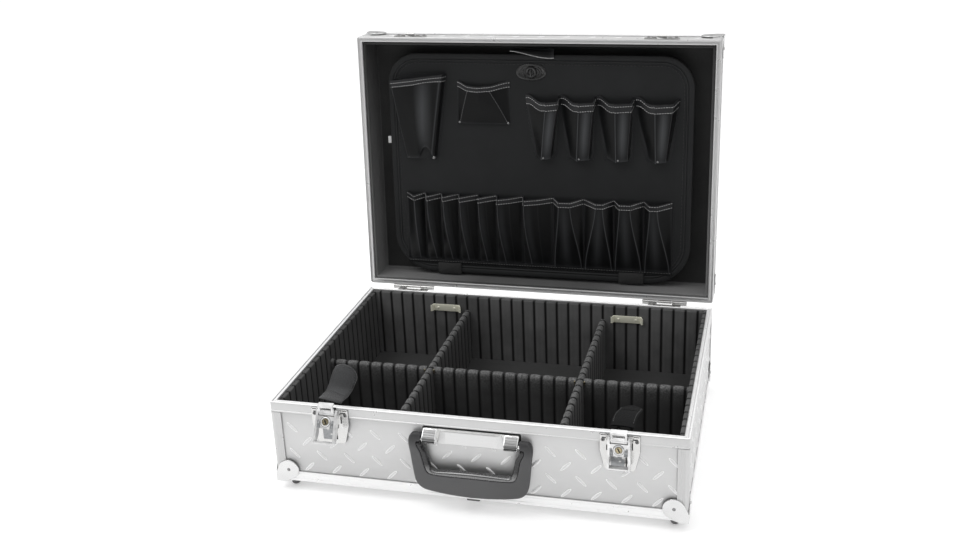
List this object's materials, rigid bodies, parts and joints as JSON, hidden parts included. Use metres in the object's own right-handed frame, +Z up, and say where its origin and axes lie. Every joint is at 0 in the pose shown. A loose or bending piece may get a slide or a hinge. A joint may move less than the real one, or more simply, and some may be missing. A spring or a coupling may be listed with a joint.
{
  "type": "aluminium attache case",
  "caption": "Hard-sided aluminium attache tool case with tread-pattern panels, draw latches, folding handle, ribbed dividers and a pocketed pallet in its open lid.",
  "frame": {"origin": "centre of the flat underside of the base shell", "axes": "+Z up, +Y from the handle towards the hinges, +X along the case towards the right-hand latch as seen from the front"},
  "size_m": [0.4576, 0.4265, 0.4478],
  "materials": {
    "panel": "pressed tread pattern, satin",
    "frame": "extruded, bright with fine lines",
    "cap": "pressed, bright",
    "foot": "polished",
    "ribbed_lining": "matte, ribbed",
    "flat_lining": "matte",
    "divider": "matte, ribbed",
    "bracket": "satin",
    "webbing": "woven",
    "nickel": "nickel plated, satin bright",
    "chrome": "polished",
    "brass": "turned",
    "grip": "fine pebble",
    "pallet": "satin, piped edge",
    "leatherette": "soft sheen",
    "clip": "satin"
  },
  "bodies": {
    "base_shell": {"base_rim": "frame", "base_edge_frame": "frame", "base_side_panels": "panel", "base_bottom_panel": "panel", "base_corner_front_left": "cap", "base_corner_front_right": "cap", "base_corner_back_left": "cap", "base_corner_back_right": "cap", "foot_front_left": "foot", "foot_front_right": "foot", "foot_back_left": "foot", "foot_back_right": "foot", "base_wall_lining": "ribbed_lining", "base_floor_lining": "flat_lining", "back_bracket_left": "bracket", "back_bracket_right": "bracket", "latch_plate_left": "nickel", "latch_plate_right": "nickel", "handle_bracket": "chrome", "hinge_leaf_base_left": "nickel", "hinge_leaf_base_right": "nickel", "hinge_pin_left": "chrome", "hinge_pin_right": "chrome"},
    "lid": {"lid_rim": "frame", "lid_edge_frame": "frame", "lid_side_panels": "panel", "lid_top_panel": "panel", "lid_corner_front_left": "cap", "lid_corner_front_right": "cap", "lid_corner_back_left": "cap", "lid_corner_back_right": "cap", "lid_lining": "flat_lining", "lid_catch_left": "nickel", "lid_catch_right": "nickel", "hinge_leaf_lid_left": "nickel", "hinge_leaf_lid_right": "nickel"},
    "pallet": {"pallet": "pallet", "pocket_large": "leatherette", "pocket_square": "leatherette", "loop_strip": "leatherette", "pocket_row": "leatherette", "pallet_strap": "webbing", "turn_lock_plate": "nickel", "pallet_clip_left": "clip", "pallet_clip_right": "clip"},
    "turn_knob": {"turn_lock_knob": "chrome"},
    "cross_divider": {"divider_cross": "divider"},
    "left_divider": {"divider_left": "divider"},
    "right_divider": {"divider_right": "divider"},
    "left_strap": {"strap_left": "webbing"},
    "right_strap": {"strap_right": "webbing"},
    "handle": {"handle_grip": "grip"},
    "lever_left": {"latch_lever_left": "nickel", "claw_pin_left": "chrome"},
    "claw_left": {"latch_claw_left": "chrome"},
    "key_left": {"lock_cylinder_left": "brass"},
    "lever_right": {"latch_lever_right": "nickel", "claw_pin_right": "chrome"},
    "claw_right": {"latch_claw_right": "chrome"},
    "key_right": {"lock_cylinder_right": "brass"}
  },
  "joints": [
    {"name": "lid_hinge", "type": "hinge", "parent": "base_shell", "child": "lid", "pos_m": [0, 0.167, 0.1002], "axis": [1, 0, 0], "range_deg": [0, 93.5]},
    {"name": "pallet_tilt", "type": "hinge", "parent": "lid", "child": "pallet", "pos_m": [0, 0.19206, 0.1152], "axis": [-1, 0, 0], "range_deg": [-12, 0]},
    {"name": "turn_lock", "type": "hinge", "parent": "pallet", "child": "turn_knob", "pos_m": [-0.007, 0.20425, 0.38496], "axis": [0, 0.9981, -0.061], "range_deg": [0, 90]},
    {"name": "handle_swing", "type": "hinge", "parent": "base_shell", "child": "handle", "pos_m": [0, -0.171, 0.074], "axis": [-1, 0, 0], "range_deg": [0, 100]},
    {"name": "divider_cross_lift", "type": "slide", "parent": "base_shell", "child": "cross_divider", "axis": [0, 0, -1], "range_m": [-0.09, 0]},
    {"name": "divider_left_lift", "type": "slide", "parent": "cross_divider", "child": "left_divider", "axis": [0, 0, -1], "range_m": [-0.038, 0]},
    {"name": "divider_right_lift", "type": "slide", "parent": "cross_divider", "child": "right_divider", "axis": [0, 0, -1], "range_m": [-0.038, 0]},
    {"name": "strap_left_fold", "type": "hinge", "parent": "base_shell", "child": "left_strap", "pos_m": [0, -0.1496, 0.0985], "axis": [-1, 0, 0], "range_deg": [0, 75]},
    {"name": "strap_right_fold", "type": "hinge", "parent": "base_shell", "child": "right_strap", "pos_m": [0, -0.1496, 0.0985], "axis": [-1, 0, 0], "range_deg": [-70, 0]},
    {"name": "latch_lever_left_lift", "type": "hinge", "parent": "base_shell", "child": "lever_left", "pos_m": [-0.157, -0.168, 0.0952], "axis": [1, 0, 0], "range_deg": [-65, 25]},
    {"name": "claw_left_upright", "type": "hinge", "parent": "lever_left", "child": "claw_left", "pos_m": [-0.157, -0.17223, 0.09441], "axis": [1, 0, 0], "range_deg": [-25, 65]},
    {"name": "key_left_turn", "type": "hinge", "parent": "lever_left", "child": "key_left", "pos_m": [-0.157, -0.1765, 0.08692], "axis": [0, 0.9063, -0.4226], "range_deg": [0, 90]},
    {"name": "latch_lever_right_lift", "type": "hinge", "parent": "base_shell", "child": "lever_right", "pos_m": [0.157, -0.168, 0.0952], "axis": [1, 0, 0], "range_deg": [-90, 0]},
    {"name": "claw_right_upright", "type": "hinge", "parent": "lever_right", "child": "claw_right", "pos_m": [0.157, -0.1715, 0.0927], "axis": [1, 0, 0], "range_deg": [0, 90]},
    {"name": "key_right_turn", "type": "hinge", "parent": "lever_right", "child": "key_right", "pos_m": [0.157, -0.1722, 0.0841], "axis": [0, 1, 0], "range_deg": [0, 90]}
  ],
  "couplings": [
    {"joint": "strap_left_fold", "follows": "lid_hinge", "ratio": 0.8},
    {"joint": "claw_left_upright", "follows": "latch_lever_left_lift", "ratio": -1},
    {"joint": "claw_right_upright", "follows": "latch_lever_right_lift", "ratio": -1}
  ]
}
